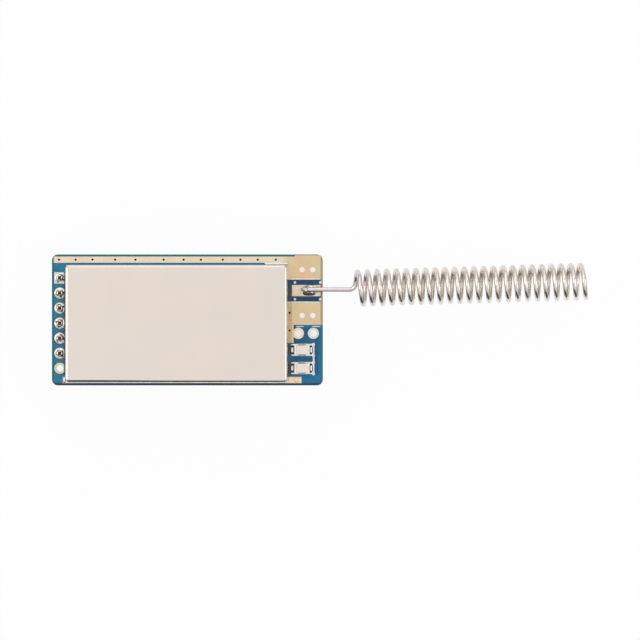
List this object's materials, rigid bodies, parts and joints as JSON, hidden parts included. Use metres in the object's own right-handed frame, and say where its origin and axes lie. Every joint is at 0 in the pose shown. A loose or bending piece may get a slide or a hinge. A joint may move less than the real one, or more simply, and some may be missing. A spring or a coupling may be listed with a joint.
{
  "type": "wireless serial module",
  "caption": "Small radio board with a folded metal can, a row of square header posts below and a coiled wire antenna past its end.",
  "frame": {"origin": "on the axis of header post 1, in the plane where the posts' insulator sits on the host board", "axes": "+X along the board towards the antenna, -Y along the row of posts, +Z from the host board towards the can"},
  "size_m": [0.071, 0.0174, 0.0125],
  "materials": {
    "board_mask": "glossy blue solder mask over woven glass board",
    "gold_pads": "thin bright gold plating on copper",
    "tinned_sheet": "satin tinned sheet steel",
    "tinned_pads": "bright tin over copper",
    "solder": "bright tin solder",
    "antenna_wire": "drawn tinned spring wire, satin",
    "post_metal": "plated square brass posts",
    "black_plastic": "moulded black plastic, satin",
    "chip_plastic": "moulded black chip plastic",
    "tinned_leads": "tinned copper leads",
    "lamp_plastic": "clear pale resin over a white carrier",
    "lamp_board": "white carrier board",
    "crystal_ceramic": "pale ceramic",
    "crystal_metal": "plated lid",
    "capacitor_ceramic": "tan ceramic",
    "resistor_ceramic": "black glazed film",
    "inductor_ceramic": "grey blue ceramic"
  },
  "bodies": {
    "root": {"printed_circuit_board": "board_mask", "header_pads": "tinned_pads", "ground_copper": "gold_pads", "round_pad": "tinned_pads", "antenna_pad": "gold_pads", "lamp_pads": "gold_pads", "chip_pads": "gold_pads", "header_insulator": "black_plastic", "shield_can": "tinned_sheet", "shield_solder": "solder", "spring_antenna": "antenna_wire", "antenna_joint": "solder", "controller_body": "chip_plastic", "controller_leads": "tinned_leads", "regulator_body": "chip_plastic", "regulator_leads": "tinned_leads", "switch_body": "chip_plastic", "switch_leads": "tinned_leads", "radio_body": "chip_plastic", "radio_lands": "tinned_leads", "crystal_base": "crystal_ceramic", "crystal_lid": "crystal_metal", "capacitor_bodies": "capacitor_ceramic", "resistor_bodies": "resistor_ceramic", "inductor_bodies": "inductor_ceramic", "passive_ends": "tinned_leads", "header_post_1": "post_metal", "post_solder_1": "solder", "header_post_2": "post_metal", "post_solder_2": "solder", "header_post_3": "post_metal", "post_solder_3": "solder", "header_post_4": "post_metal", "post_solder_4": "solder", "header_post_5": "post_metal", "post_solder_5": "solder", "header_post_6": "post_metal", "post_solder_6": "solder", "lamp_1_carrier": "lamp_board", "lamp_1_ends": "gold_pads", "lamp_1_lens": "lamp_plastic", "lamp_1_solder": "solder", "lamp_2_carrier": "lamp_board", "lamp_2_ends": "gold_pads", "lamp_2_lens": "lamp_plastic", "lamp_2_solder": "solder"}
  },
  "joints": []
}
